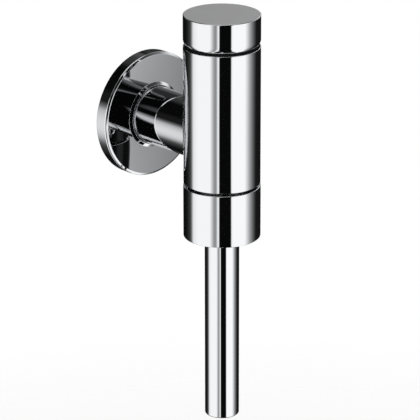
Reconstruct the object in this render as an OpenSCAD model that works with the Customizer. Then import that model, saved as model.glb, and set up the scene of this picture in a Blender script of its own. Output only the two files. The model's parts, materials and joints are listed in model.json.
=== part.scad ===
// Urinal flush valve for a surface-mounted flush pipe. Pressing the cap opens a small pilot
// valve, the water above the piston drains through a bypass, the piston lifts and the pipe
// is flushed until the chamber has filled again through the bleed nozzle. Millimetres.
// The origin is on the inlet axis at the face of the wall. +Y runs into the wall, +Z is up.

/* [Body] */
// Outside diameter of the valve body and of the push cap
body_d = 39.7; // [39:0.1:46]
// Height of the body's rim above the inlet axis
body_top = 48.6; // [47:0.2:60]
// Depth of the body's shoulder below the inlet axis
body_drop = 24.2; // [23:0.2:32]
// Wall of the body round the piston's bore
cylinder_wall = 5.35; // [4.85:0.05:6]
// Wall of the body's rim round the skirt of the cap
rim_wall = 0.85; // [0.75:0.05:1]
// Bore of the valve seat
seat_d = 14; // [12:0.5:14]
// Bore of the body below the seat
outlet_d = 17; // [15:0.5:17]
// Bore from the inlet to the cylinder
port_d = 12; // [9:0.5:12]
// Diameter of the bypass drilled down the body's wall
bypass_d = 2.2; // [1.4:0.1:2.4]

/* [Push cap] */
// Height of the cap's straight side
cap_h = 13.3; // [11:0.1:18]
// Thickness of the cap's top
cap_top_h = 4; // [2.5:0.5:5]
// Radius of the cap's top edge
cap_edge_r = 0.7; // [0.3:0.1:1.5]
// Height of the taper under the cap's side
cap_taper_h = 2.7; // [2.4:0.1:4]
// Inward reach of that taper, down to the skirt
cap_taper_in = 1.4; // [1.3:0.1:1.6]
// Gap between the taper and the body's rim, with the cap at rest
cap_gap = 0.65; // [0.5:0.05:1]
// Travel of the cap
cap_travel = 1.5; // [1:0.1:1.5]

/* [Piston] */
// Lift of the piston off its seat
piston_lift = 5; // [3:0.5:5.5]
// Diameter of the piston's lower stem
piston_stem_d = 18.8; // [18:0.2:20]
// Diameter of the bleed nozzle's hole
bleed_d = 0.7; // [0.5:0.1:1]

/* [Outlet sleeve and vacuum breaker] */
// Outside diameter of the sleeve
sleeve_d = 40; // [39.4:0.1:46]
// Height of the sleeve
sleeve_h = 27.9; // [27:0.1:36]
// Height of the air slit between the body and the sleeve
air_slit = 1.4; // [0.8:0.1:2]
// Number of air windows in the vacuum breaker
window_count = 6; // [4:1:8]
// Diameter of each air window
window_d = 3.6; // [2.5:0.1:3.6]

/* [Flush pipe] */
// Outside diameter of the flush pipe
pipe_d = 18; // [17:0.5:18.5]
// Wall of the flush pipe
pipe_wall = 1; // [0.7:0.1:1.5]
// Length of pipe below the sleeve
pipe_reach = 100.9; // [60:0.1:400]

/* [Wall connection] */
// Distance from the wall to the valve's axis
wall_to_axis = 59.3; // [57:0.1:75]
// Diameter of the side spigot that the rosette slides on
spigot_d = 30.8; // [29.8:0.1:34]
// Distance from the wall to the spigot's end, inside the rosette
spigot_off_wall = 2.5; // [2:0.1:5]
// Outside diameter of the wall thread
thread_d = 20.955; // [20:0.005:21.5]
// Length of the wall thread
thread_h = 13.5; // [9:0.5:20]

/* [Rosette] */
// Diameter of the rosette
rosette_d = 66.6; // [60:0.2:90]
// Depth of the rosette
rosette_h = 7.5; // [7:0.1:10]
// Thickness of the rosette's sheet
sheet = 0.9; // [0.6:0.1:1.2]
// How far the raised hub's foot spreads beyond its hole
hub_spread = 1.6; // [0.8:0.1:4]
// Height of the hub above the rosette's face
hub_h = 1.9; // [1:0.1:3]

/* [Fits] */
// Radial gap of screwed and pressed pieces
fit_gap = 0.03; // [0.02:0.01:0.05]
// Radial gap of sliding pieces
run_gap = 0.05; // [0.03:0.01:0.1]

/* [Hidden] */
$fn = 96;
cut = 1;

// Finishes
chrome = [0.86, 0.87, 0.89];
brass = [0.80, 0.64, 0.34];
steel = [0.66, 0.67, 0.69];
rubber = [0.10, 0.10, 0.11];
fibre = [0.62, 0.20, 0.14];
white_plastic = [0.90, 0.90, 0.87];
grey_plastic = [0.45, 0.47, 0.50];
black_plastic = [0.05, 0.05, 0.06];
blue_plastic = [0.20, 0.36, 0.62];

// Radii
body_r = body_d / 2;
collar_r = body_r - rim_wall;
skirt_r = body_r - cap_taper_in;
skirt_wall = 1.4;
skirt_in_r = skirt_r - skirt_wall;
cyl_r = body_r - cylinder_wall;
head_r = cyl_r + 0.5;
head_thread_r = head_r + 0.9;
bypass_r = body_r - 1.3 - bypass_d / 2;
rim_bevel = 0.4;
edge_bevel = 0.25;

// Levels of the head, from the rim down
rim_z = body_top;
skirt_room_h = 10.4;
collar_z = rim_z - skirt_room_h;
gasket_h = 1;
flange_h = 1.5;
flange_top_z = collar_z + gasket_h + flange_h;
head_plug_h = 11.5;
head_low_z = collar_z - head_plug_h;
head_thread_h = 4;
thread_low_z = collar_z - head_thread_h;
bypass_above_head = 5.2;
bypass_z = head_low_z + bypass_above_head;
groove_h = 2.2;
oring_z = head_low_z + 2;

// Levels of the cap
taper_low_z = rim_z + cap_gap;
cap_side_z = taper_low_z + cap_taper_h;
cap_top_z = cap_side_z + cap_h;
cap_under_z = cap_top_z - cap_top_h;
skirt_low_z = flange_top_z + cap_travel + 0.3;
boss_r = 5;
hex_h = 5.6;
boss_z = flange_top_z + hex_h + cap_travel + 0.1;
hex_top_z = boss_z - cap_travel - 0.1;
hex_af = 16;
stem_r = 3;
stem_thread_r = 2.5;
stem_neck_r = 2.4;
stem_grip = 9;
stem_top_z = boss_z + stem_grip;

// The pilot valve under the head
nib_r = 4.4;
nib_wall = 0.8;
nib_h = 0.6;
nib_z = head_low_z - nib_h;
seat_touch = 0.05;
pilot_seal_h = 2;
pilot_seal_r = 6.1;
pilot_top_z = nib_z - seat_touch;
pilot_flange_h = 1.5;
clip_h = 0.6;

// The seat and the piston
chamber_low_z = -port_d / 2 - 3.3;
seat_h = 4.7;
seat_r = 11;
seat_lip = 0.8;
seat_lip_h = 0.95;
seat_z = chamber_low_z + seat_lip_h;
bypass_below_seat = 4;
bypass_low_z = chamber_low_z - seat_h - bypass_below_seat;
seal_h = 2.8;
seal_low_z = seat_z + seat_touch;
piston_low_z = seal_low_z + seal_h;
guide_low_z = port_d / 2 + 3;
guide_r = cyl_r - 0.3;
piston_top_z = head_low_z - nib_h - piston_lift - 1.2;
hollow_r = 8.6;
hollow_z = guide_low_z + 1.5;
lip_low_z = guide_low_z + 3.5;
lip_h = 4;
lip_groove_r = guide_r - 2.3;
bleed_r = (hollow_r + lip_groove_r) / 2;
bleed_body_r = 1.1;
bleed_h = 4.2;
screw_r = 3;
screw_grip = 8;
cone_h = 4.8;
screw_head_r = seat_d / 2 - 0.7;

// Levels under the body's shoulder
shoulder_z = -body_drop;
tail_r = 13.5;
body_gasket_h = 0.8;
jet_flange_h = 1.2;
jet_room_h = 6.3;
sleeve_top_z = shoulder_z - air_slit;
sleeve_low_z = sleeve_top_z - sleeve_h;
sleeve_floor_h = 3.4;
sleeve_floor_z = sleeve_low_z + sleeve_floor_h;
clamp_h = 1.2;
pipe_gasket_h = 2.4;
breaker_top_z = sleeve_top_z - 0.6;
breaker_low_z = sleeve_floor_z + clamp_h + pipe_gasket_h;
breaker_r = 17;
breaker_bore_r = 11.2;
pipe_r = pipe_d / 2;
pipe_end_r = pipe_r - 0.25;
socket_h = 4;
pipe_top_z = breaker_low_z + socket_h;
pipe_stop_z = pipe_top_z + 1;
breaker_floor_z = pipe_stop_z + jet_room_h;
tail_z = breaker_floor_z + jet_flange_h + body_gasket_h;
pipe_low_z = sleeve_low_z - pipe_reach;
window_z = breaker_floor_z - 2.5;
jet_low_z = pipe_stop_z + 0.5;
jet_r = 8.8;
jet_side_h = 4;
sleeve_thread_h = 5.5;
gland_r = 13.1;

// The wall connection, with y measured from the wall
axis_y = -wall_to_axis;
spigot_r = spigot_d / 2;
spigot_y = -spigot_off_wall;
thread_r = thread_d / 2;
inner_thread_r = 10;
nipple_grip = 12.5;
nipple_low_y = spigot_y - nipple_grip;
nipple_flange_r = inner_thread_r + 2;
inlet_gasket_h = 1;
socket_floor_y = nipple_low_y - inlet_gasket_h;
nipple_bore_r = 6;
key_af = 12.4;
key_h = 10;
trap_r = 8.6;
restrictor_h = 2.5;
mesh_flange_h = 0.8;
trap_h = restrictor_h + mesh_flange_h + 0.2;

// The rosette, with t measured from the wall towards the room
rosette_r = rosette_d / 2;
rosette_bevel = 1.1;
rosette_bevel_h = 0.8;
hub_in_r = spigot_r + 0.3;
hub_r = hub_in_r + hub_spread;
hub_lip = 0.5;
bush_gap = 0.1;
bush_wall = 2.7;
bush_low_t = spigot_off_wall + 0.2;
bush_groove_h = 1.7;
bush_groove_t = bush_low_t + 1.8;
bush_r = spigot_r + bush_gap + bush_wall;
rosette_oring_r = bush_groove_h / 2 - 0.1;
rim_gasket_h = 3;
rim_gasket_w = 2.2;

module at_axis() { translate([0, axis_y, 0]) children(); }

// Turns a lathe outline so that its height runs along +Y
module along_y() { rotate([-90, 0, 0]) children(); }

// Turns a lathe outline so that its height runs from the wall into the room
module into_room() { rotate([90, 0, 0]) children(); }

module ring(r_out, r_in, z_low, z_high) {
  translate([0, 0, z_low]) difference() {
    cylinder(r = r_out, h = z_high - z_low);
    translate([0, 0, -cut]) cylinder(r = r_in, h = z_high - z_low + 2 * cut);
  }
}

module disc(r, z_low, z_high) {
  translate([0, 0, z_low]) cylinder(r = r, h = z_high - z_low);
}

module oring(mid_r, wire_r, z) {
  translate([0, 0, z]) rotate_extrude() translate([mid_r, 0]) circle(r = wire_r, $fn = 32);
}

// The part of an outline that rounding a corner at (x, y) takes away.
// sx and sy point out of the metal.
module round_off(x, y, r, sx, sy) {
  translate([x, y]) scale([sx, sy]) difference() {
    translate([-r, -r]) square(r + cut);
    translate([-r, -r]) circle(r = r, $fn = 48);
  }
}

// A wound spring: one tube along a helix, with a closed turn at each end
function spring_rise(s, turns, length, wire) =
  let (closed = wire * 1.25, open = (length - 2 * closed) / (turns - 2))
  s < 1 ? closed * s
    : s > turns - 1 ? closed + open * (turns - 2) + closed * (s - turns + 1)
    : closed + open * (s - 1);

module wound_spring(mid_r, wire_r, z_low, z_high, turns) {
  steps = 12;
  sides = 6;
  rings = turns * steps;
  length = z_high - z_low - 2 * wire_r;
  points = [
    for (i = [0 : rings])
      let (angle = 360 * i / steps)
      let (z = z_low + wire_r + spring_rise(i / steps, turns, length, 2 * wire_r))
      for (k = [0 : sides - 1])
        let (r = mid_r + wire_r * cos(60 * k))
        [r * cos(angle), r * sin(angle), z + wire_r * sin(60 * k)]
  ];
  sides_faces = [
    for (i = [0 : rings - 1]) for (k = [0 : sides - 1])
      let (a = i * sides + k, b = i * sides + (k + 1) % sides)
      for (face = [[a, b, b + sides], [a, b + sides, a + sides]]) face
  ];
  first = [for (k = [1 : sides - 2]) [0, k + 1, k]];
  last = [for (k = [1 : sides - 2]) [rings * sides, rings * sides + k, rings * sides + k + 1]];
  polyhedron(points, concat(sides_faces, first, last));
}

module push_cap() {
  color(chrome) at_axis() difference() {
    rotate_extrude() difference() {
      polygon([
        [0, skirt_low_z], [skirt_r, skirt_low_z], [skirt_r, taper_low_z],
        [body_r, cap_side_z], [body_r, cap_top_z], [0, cap_top_z]
      ]);
      round_off(body_r, cap_top_z, cap_edge_r, 1, 1);
    }
    difference() {
      disc(skirt_in_r, skirt_low_z - cut, cap_under_z);
      disc(boss_r, boss_z, cap_under_z + cut);
    }
    disc(stem_thread_r + fit_gap, boss_z - cut, stem_top_z + 1);
  }
}

module push_stem() {
  flange_low_z = pilot_top_z - pilot_seal_h - pilot_flange_h;
  color(brass) at_axis() difference() {
    rotate_extrude() polygon([
      [0, flange_low_z], [pilot_seal_r - 0.2, flange_low_z],
      [pilot_seal_r - 0.2, flange_low_z + pilot_flange_h],
      [stem_neck_r, flange_low_z + pilot_flange_h],
      [stem_neck_r, bypass_z + groove_h], [stem_r, bypass_z + groove_h + 0.6],
      [stem_r, boss_z], [stem_thread_r, boss_z],
      [stem_thread_r, stem_top_z - 0.5], [stem_thread_r - 0.5, stem_top_z], [0, stem_top_z]
    ]);
    ring(stem_r + cut, stem_neck_r - 0.5, pilot_top_z + 0.1, pilot_top_z + 0.2 + clip_h);
  }
}

module pilot_seal() {
  color(rubber) at_axis()
    ring(pilot_seal_r, stem_neck_r + 0.02, pilot_top_z - pilot_seal_h, pilot_top_z);
}

// Open spring clip that holds the pilot seal on the stem
module pilot_clip() {
  color(steel) at_axis() difference() {
    ring(stem_neck_r + 1.1, stem_neck_r - 0.45, pilot_top_z + 0.15, pilot_top_z + 0.15 + clip_h);
    translate([0, -stem_neck_r - 1, pilot_top_z + clip_h / 2])
      cube([2 * stem_neck_r - 1.2, 2 * stem_neck_r, 2 * clip_h], center = true);
  }
}

module button_spring() {
  color(steel) at_axis()
    wound_spring(hex_af / 2 + 3.6, 0.55, flange_top_z, cap_under_z, 8);
}

module head_piece() {
  flange_r = collar_r - 0.3;
  color(brass) at_axis() difference() {
    union() {
      disc(head_r - fit_gap, head_low_z, collar_z);
      disc(head_thread_r - fit_gap, thread_low_z + 0.3, collar_z);
      disc(head_thread_r - fit_gap, collar_z, collar_z + gasket_h);
      disc(flange_r, collar_z + gasket_h, flange_top_z);
      translate([0, 0, flange_top_z])
        cylinder(r = hex_af / 2 / cos(30), h = hex_top_z - flange_top_z, $fn = 6);
      ring(nib_r + nib_wall, nib_r, nib_z, head_low_z + cut);
    }
    disc(nib_r, nib_z - cut, bypass_z + groove_h / 2 + 0.4);
    disc(stem_r + run_gap, head_low_z, hex_top_z + cut);
    ring(head_r + cut, head_r - 1.9, oring_z - groove_h / 2, oring_z + groove_h / 2);
    ring(head_r + cut, head_r - 1.4, bypass_z - groove_h / 2, bypass_z + groove_h / 2);
    ring(stem_r + 1.9, stem_r, thread_low_z + 1, thread_low_z + 3.1);
    for (i = [0 : 2]) rotate(120 * i + 60) translate([nib_r - 1, 0, bypass_z])
      rotate([0, 90, 0]) cylinder(d = bypass_d - 0.2, h = head_r - nib_r, $fn = 32);
  }
}

module head_gasket() {
  color(fibre) at_axis()
    ring(collar_r - 0.4, head_thread_r + 0.02, collar_z, collar_z + gasket_h);
}

module head_oring() { color(rubber) at_axis() oring(head_r - 0.94, 0.92, oring_z); }

module stem_seal() { color(rubber) at_axis() oring(stem_r + 1, 0.9, thread_low_z + 2.05); }

module piston() {
  color(white_plastic) at_axis() difference() {
    rotate_extrude() polygon([
      [0, piston_low_z], [piston_stem_d / 2, piston_low_z],
      [piston_stem_d / 2, guide_low_z - 1], [piston_stem_d / 2 + 1, guide_low_z],
      [guide_r - 0.5, guide_low_z], [guide_r, guide_low_z + 0.5],
      [guide_r, lip_low_z], [lip_groove_r, lip_low_z],
      [lip_groove_r, lip_low_z + lip_h], [guide_r, lip_low_z + lip_h],
      [guide_r, piston_top_z - 0.5], [guide_r - 0.5, piston_top_z],
      [hollow_r + 0.4, piston_top_z], [hollow_r, piston_top_z - 0.4],
      [hollow_r, hollow_z], [0, hollow_z]
    ]);
    disc(screw_r, piston_low_z - cut, piston_low_z + screw_grip + 1);
    rotate(90) translate([bleed_r, 0, guide_low_z - cut])
      cylinder(r = bleed_body_r, h = piston_top_z - guide_low_z + 2 * cut, $fn = 32);
  }
}

module piston_lip_seal() {
  low = lip_low_z + 0.1;
  high = lip_low_z + lip_h - 0.1;
  inner = lip_groove_r + 0.03;
  outer = cyl_r - run_gap;
  color(rubber) at_axis() rotate_extrude() polygon([
    [inner, low], [outer - 0.4, low], [outer - 0.4, low + 1.4], [outer, high - 0.3],
    [outer, high], [outer - 0.6, high], [inner + 1.2, low + 1.7], [inner + 0.6, high],
    [inner, high]
  ]);
}

module piston_seat_seal() {
  color(rubber) at_axis()
    ring(piston_stem_d / 2 - 0.1, screw_r + fit_gap, seal_low_z, seal_low_z + seal_h);
}

// Screw that clamps the seat seal, with the cone that shapes the flow through the seat
module seal_screw() {
  color(brass) at_axis() difference() {
    rotate_extrude() polygon([
      [0, seal_low_z - cone_h], [screw_head_r - 1.6, seal_low_z - cone_h],
      [screw_head_r, seal_low_z - 1.4], [screw_head_r, seal_low_z],
      [screw_r - fit_gap, seal_low_z], [screw_r - fit_gap, piston_low_z + screw_grip - 0.5],
      [screw_r - 0.6, piston_low_z + screw_grip], [0, piston_low_z + screw_grip]
    ]);
    translate([0, 0, seal_low_z - cone_h]) cube([2 * seat_d, 1.2, 2], center = true);
  }
}

module bleed_nozzle() {
  color(brass) at_axis() rotate(90) translate([bleed_r, 0, 0]) difference() {
    disc(bleed_body_r - fit_gap, guide_low_z + 0.3, guide_low_z + 0.3 + bleed_h);
    disc(bleed_d / 2, guide_low_z, guide_low_z + bleed_h + cut);
    disc(bleed_d, guide_low_z + bleed_h / 2, guide_low_z + bleed_h + cut);
  }
}

module piston_spring() {
  color(steel) at_axis() wound_spring(pilot_seal_r + 1.25, 0.45, hollow_z, head_low_z, 6);
}

module seat_ring() {
  color(steel) at_axis() rotate_extrude() polygon([
    [seat_d / 2, chamber_low_z - seat_h], [seat_r - fit_gap, chamber_low_z - seat_h],
    [seat_r - fit_gap, chamber_low_z], [seat_d / 2 + 1.6, chamber_low_z],
    [seat_d / 2 + seat_lip, chamber_low_z + seat_lip_h - 0.1],
    [seat_d / 2 + seat_lip - 0.1, seat_z], [seat_d / 2 + 0.1, seat_z],
    [seat_d / 2, seat_z - 0.1]
  ]);
}

module valve_body() {
  color(chrome) difference() {
    union() {
      at_axis() rotate_extrude() difference() {
        translate([0, shoulder_z]) square([body_r, rim_z - shoulder_z]);
        polygon([
          [body_r - edge_bevel, rim_z], [body_r, rim_z - edge_bevel],
          [body_r + cut, rim_z - edge_bevel], [body_r + cut, rim_z + cut],
          [body_r - edge_bevel, rim_z + cut]
        ]);
      }
      at_axis() disc(tail_r, tail_z, shoulder_z + cut);
      along_y() rotate_extrude() polygon([
        [0, axis_y], [spigot_r, axis_y], [spigot_r, spigot_y - rim_bevel],
        [spigot_r - rim_bevel, spigot_y], [0, spigot_y]
      ]);
    }
    at_axis() {
      rotate_extrude() polygon([
        [0, collar_z], [collar_r, collar_z], [collar_r, rim_z - rim_bevel],
        [collar_r + rim_bevel, rim_z], [collar_r + rim_bevel, rim_z + cut], [0, rim_z + cut]
      ]);
      disc(head_thread_r, thread_low_z, collar_z + cut);
      disc(head_r, head_low_z - 0.3, collar_z + cut);
      disc(cyl_r, chamber_low_z, collar_z);
      disc(seat_r, chamber_low_z - seat_h, chamber_low_z + cut);
      disc(outlet_d / 2, tail_z - cut, chamber_low_z);
      translate([bypass_r, 0, 0]) disc(bypass_d / 2, bypass_low_z, bypass_z);
      for (z = [bypass_low_z, bypass_z]) translate([outlet_d / 2 - 0.5, 0, z])
        rotate([0, 90, 0]) cylinder(d = bypass_d, h = bypass_r - outlet_d / 2 + 0.5);
    }
    along_y() {
      disc(inner_thread_r, socket_floor_y, spigot_y + cut);
      disc(port_d / 2, axis_y + cyl_r - 2, socket_floor_y + cut);
    }
  }
}

module body_gasket() {
  color(fibre) at_axis()
    ring(tail_r - 0.1, outlet_d / 2 + 0.1, tail_z - body_gasket_h, tail_z);
}

// Nozzle that throws the water past the air windows into the flush pipe
module jet_insert() {
  top = tail_z - body_gasket_h;
  inner = outlet_d / 2 - 0.5;
  color(grey_plastic) at_axis() rotate_extrude() polygon([
    [inner, top], [tail_r - 0.1, top], [tail_r - 0.1, breaker_floor_z],
    [jet_r, breaker_floor_z], [jet_r, breaker_floor_z - jet_side_h],
    [jet_r - 1.2, jet_low_z],
    [jet_r - 2, jet_low_z]
  ]);
}

// Rubber cuff whose lip closes the air windows while water runs
module air_lip_ring() {
  top = breaker_floor_z - 0.1;
  low = pipe_stop_z + 0.6;
  wall = 0.9;
  color(rubber) at_axis() rotate_extrude() polygon([
    [jet_r + 0.05, top], [jet_r + wall, top], [jet_r + wall, low + 3.2],
    [breaker_bore_r - 0.1, low + 0.3], [breaker_bore_r - 0.7, low],
    [jet_r + 0.05, low + 2.4]
  ]);
}

module breaker_body() {
  color(brass) at_axis() difference() {
    disc(breaker_r - fit_gap, breaker_low_z, breaker_top_z);
    disc(tail_r + fit_gap, breaker_floor_z, breaker_top_z + cut);
    disc(breaker_bore_r, pipe_stop_z, breaker_floor_z + cut);
    disc(pipe_r - pipe_wall + 0.15, breaker_low_z, breaker_floor_z);
    disc(pipe_end_r + fit_gap, breaker_low_z - cut, pipe_top_z);
    for (i = [0 : window_count - 1]) rotate(360 * i / window_count)
      translate([breaker_bore_r - 1, 0, window_z]) rotate([0, 90, 0])
        cylinder(d = window_d, h = breaker_r - breaker_bore_r + 2, $fn = 32);
  }
}

module pipe_gasket() {
  color(rubber) at_axis()
    ring(gland_r - 0.1, pipe_end_r + 0.02, breaker_low_z - pipe_gasket_h, breaker_low_z);
}

module clamp_ring() {
  color(steel) at_axis()
    ring(gland_r - 0.1, pipe_end_r + 0.1, sleeve_floor_z, sleeve_floor_z + clamp_h);
}

// Outer sleeve: screwed up onto the vacuum breaker, it clamps the gasket on the pipe
module outlet_sleeve() {
  sleeve_r = sleeve_d / 2;
  sleeve_hole_r = pipe_end_r + 0.4;
  thread_top_z = breaker_low_z + sleeve_thread_h;
  color(chrome) at_axis() rotate_extrude() difference() {
    translate([sleeve_hole_r, sleeve_low_z]) square([sleeve_r - sleeve_hole_r, sleeve_h]);
    round_off(sleeve_r, sleeve_top_z, 0.4, 1, 1);
    round_off(sleeve_r, sleeve_low_z, 0.3, 1, -1);
    translate([0, sleeve_floor_z]) square([gland_r, sleeve_h]);
    translate([0, breaker_low_z]) square([breaker_r, sleeve_h]);
    translate([0, thread_top_z]) square([breaker_r + 0.8, sleeve_h]);
  }
}

// The pipe's upper end is turned down a little where it enters the sleeve
module flush_pipe() {
  end_r = 0.4;
  step_z = sleeve_low_z - 0.3;
  inner_r = pipe_r - pipe_wall;
  color(chrome) at_axis() rotate_extrude() difference() {
    polygon([
      [inner_r, pipe_low_z], [pipe_r, pipe_low_z], [pipe_r, step_z], [pipe_end_r, step_z],
      [pipe_end_r, pipe_top_z], [inner_r, pipe_top_z]
    ]);
    round_off(pipe_r, pipe_low_z, end_r, 1, -1);
  }
}

module inlet_nipple() {
  key_low_y = nipple_low_y + trap_h;
  color(chrome) along_y() difference() {
    union() {
      disc(inner_thread_r - fit_gap, nipple_low_y, spigot_y);
      disc(nipple_flange_r, spigot_y, -1);
      disc(thread_r - 1, -1 - cut, cut);
      rotate_extrude() polygon([
        [0, 0], [thread_r, 0], [thread_r, thread_h - 1], [thread_r - 1, thread_h], [0, thread_h]
      ]);
    }
    disc(nipple_bore_r, nipple_low_y - cut, thread_h + cut);
    disc(trap_r, nipple_low_y - cut, key_low_y);
    translate([0, 0, key_low_y - 0.01]) cylinder(r = key_af / 2 / cos(30), h = key_h, $fn = 6);
  }
}

module inlet_gasket() {
  color(fibre) along_y()
    ring(inner_thread_r - 0.1, port_d / 2 + 0.2, socket_floor_y, nipple_low_y);
}

module flow_restrictor() {
  hole_count = 8;
  color(blue_plastic) along_y() difference() {
    disc(trap_r - 0.1, nipple_low_y + 0.1, nipple_low_y + 0.1 + restrictor_h);
    for (i = [0 : hole_count - 1]) rotate(360 * i / hole_count)
      translate([3.9, 0, nipple_low_y - cut]) cylinder(d = 1.6, h = restrictor_h + 3, $fn = 24);
    translate([0, 0, nipple_low_y - cut]) cylinder(d = 2.6, h = restrictor_h + 3, $fn = 24);
  }
}

// Slotted cup that keeps grit out of the valve
module inlet_strainer() {
  low = nipple_low_y + 0.1 + restrictor_h;
  cup_r = nipple_bore_r - 0.3;
  cup_h = 11;
  slot_count = 10;
  color(steel) along_y() difference() {
    union() {
      disc(trap_r - 0.1, low, low + mesh_flange_h);
      disc(cup_r, low, low + cup_h);
    }
    disc(cup_r - 0.5, low - cut, low + cup_h - 0.5);
    for (i = [0 : slot_count - 1]) rotate(360 * i / slot_count)
      translate([cup_r - 1.5, -0.45, low + 2]) cube([3, 0.9, cup_h - 4]);
  }
}

// Pressed rosette: its hub is a drawn lip, and a cup behind the face holds the bush
module wall_rosette() {
  face_t = rosette_h;
  hub_t = face_t + hub_h;
  under_t = face_t - sheet;
  color(chrome) into_room() rotate_extrude() difference() {
    union() {
      polygon([
        [0, 0], [rosette_r, 0], [rosette_r, face_t - rosette_bevel_h],
        [rosette_r - rosette_bevel, face_t], [0, face_t]
      ]);
      difference() {
        polygon([[0, 0], [hub_r, face_t], [hub_in_r + hub_lip, hub_t], [0, hub_t]]);
        round_off(hub_in_r + hub_lip, hub_t, hub_lip / 2, 1, 1);
      }
    }
    translate([0, -cut]) square([hub_in_r, hub_t + 2 * cut]);
    difference() {
      polygon([
        [0, -cut], [rosette_r - sheet, -cut],
        [rosette_r - sheet, under_t - rosette_bevel_h + sheet / 2],
        [rosette_r - sheet - rosette_bevel + 0.3, under_t], [0, under_t]
      ]);
      translate([bush_r + fit_gap, bush_low_t + 1]) square([sheet, under_t]);
    }
  }
}

// Plastic bush behind the rosette's face that runs on the spigot
module rosette_bush() {
  low = bush_groove_t - bush_groove_h / 2;
  color(black_plastic) into_room() difference() {
    ring(bush_r, spigot_r + bush_gap, bush_low_t, rosette_h - sheet);
    ring(spigot_r + bush_groove_h, spigot_r - cut, low, low + bush_groove_h);
  }
}

module rosette_oring() {
  color(rubber) into_room()
    oring(spigot_r + bush_gap + rosette_oring_r, rosette_oring_r, bush_groove_t);
}

// Foam ring in the rim, against the wall
module rosette_gasket() {
  color(rubber) into_room()
    ring(rosette_r - sheet - fit_gap, rosette_r - sheet - rim_gasket_w, 0, rim_gasket_h);
}

push_cap();
push_stem();
pilot_seal();
pilot_clip();
button_spring();
head_piece();
head_gasket();
head_oring();
stem_seal();
piston();
piston_lip_seal();
piston_seat_seal();
seal_screw();
bleed_nozzle();
piston_spring();
seat_ring();
valve_body();
body_gasket();
jet_insert();
air_lip_ring();
breaker_body();
pipe_gasket();
clamp_ring();
outlet_sleeve();
flush_pipe();
inlet_nipple();
inlet_gasket();
flow_restrictor();
inlet_strainer();
wall_rosette();
rosette_bush();
rosette_oring();
rosette_gasket();
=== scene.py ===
"""Looks of the urinal flush valve: finishes, finely turned visible pieces, studio and camera.

Lengths are written in millimetres and turned into metres by MM where a mesh or an object is
made. The frame is the CAD frame: the origin on the inlet axis at the wall's face, +Y into the
wall, +Z up.
"""

import json
import math

import bmesh
import bpy
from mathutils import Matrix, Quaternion, Vector


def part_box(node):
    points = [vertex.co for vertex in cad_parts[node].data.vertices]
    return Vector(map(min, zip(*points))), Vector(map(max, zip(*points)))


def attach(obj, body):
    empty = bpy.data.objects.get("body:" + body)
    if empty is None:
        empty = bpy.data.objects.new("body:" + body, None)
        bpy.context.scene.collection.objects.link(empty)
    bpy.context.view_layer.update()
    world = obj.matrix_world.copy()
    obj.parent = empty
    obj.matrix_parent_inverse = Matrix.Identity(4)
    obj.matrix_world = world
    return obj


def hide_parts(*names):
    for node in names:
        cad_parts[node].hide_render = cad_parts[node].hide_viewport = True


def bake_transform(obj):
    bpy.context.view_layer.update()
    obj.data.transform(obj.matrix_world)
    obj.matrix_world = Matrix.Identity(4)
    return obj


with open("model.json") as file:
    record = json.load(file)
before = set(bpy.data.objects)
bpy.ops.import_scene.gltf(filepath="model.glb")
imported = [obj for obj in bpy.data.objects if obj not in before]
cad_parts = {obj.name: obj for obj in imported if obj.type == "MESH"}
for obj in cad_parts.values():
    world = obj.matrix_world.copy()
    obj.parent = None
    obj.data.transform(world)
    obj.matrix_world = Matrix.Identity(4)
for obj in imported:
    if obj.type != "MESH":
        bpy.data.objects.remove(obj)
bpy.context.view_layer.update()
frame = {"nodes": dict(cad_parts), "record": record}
nodes = frame["nodes"]
scene = bpy.context.scene

MM = 0.001


def cad(node):
    """Lowest and highest corner of a CAD node, in millimetres."""
    low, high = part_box(node)
    return low / MM, high / MM


# Shader maths


class Value:
    """A number that varies over a surface. Python arithmetic on it adds Math nodes."""

    def __init__(self, shader, socket):
        self.shader = shader
        self.socket = socket

    def math(self, operation, *others):
        made = self.shader.node(
            "ShaderNodeMath", {"operation": operation}, dict(enumerate(others))
        )
        return made["Value"]

    def __add__(self, other):
        return self.math("ADD", self, other)

    def __radd__(self, other):
        return self.math("ADD", other, self)

    def __sub__(self, other):
        return self.math("SUBTRACT", self, other)

    def __rsub__(self, other):
        return self.math("SUBTRACT", other, self)

    def __mul__(self, other):
        return self.math("MULTIPLY", self, other)

    def __rmul__(self, other):
        return self.math("MULTIPLY", other, self)

    def __truediv__(self, other):
        return self.math("DIVIDE", self, other)

    def angle_from(self, other):
        """The angle of the direction (other, self), in radians."""
        return self.math("ARCTAN2", self, other)

    def at_least(self, other):
        return self.math("MAXIMUM", self, other)

    def at_most(self, other):
        return self.math("MINIMUM", self, other)

    def between(self, low, high):
        """0 below low, 1 above high."""
        return self.shader.node(
            "ShaderNodeMapRange", {}, {"Value": self, "From Min": low, "From Max": high}
        )["Result"]


class Shader:
    """The node tree of one material or of the world, started empty."""

    def __init__(self, owner):
        owner.use_nodes = True
        self.tree = owner.node_tree
        self.tree.nodes.clear()

    def node(self, kind, settings=None, sockets=None):
        """Adds a node. Its settings come first, then its sockets get values or links.

        Returns its outputs by name. A ramp's stops are (position, brightness).
        """
        made = self.tree.nodes.new(kind)
        for name, setting in (settings or {}).items():
            if name == "stops":
                self.set_stops(made.color_ramp, setting)
            else:
                setattr(made, name, setting)
        for key, value in (sockets or {}).items():
            socket = made.inputs[key]
            if isinstance(value, Value):
                self.tree.links.new(value.socket, socket)
            elif isinstance(value, tuple) and socket.type == "RGBA":
                socket.default_value = (*value, 1)
            else:
                socket.default_value = value
        return {out.name: Value(self, out) for out in made.outputs if out.enabled}

    @staticmethod
    def set_stops(ramp, stops):
        while len(ramp.elements) > 1:
            ramp.elements.remove(ramp.elements[-1])
        for index, (position, shade) in enumerate(stops):
            if index:
                stop = ramp.elements.new(position)
            else:
                stop = ramp.elements[0]
                stop.position = position
            stop.color = (shade, shade, shade, 1)


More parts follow.
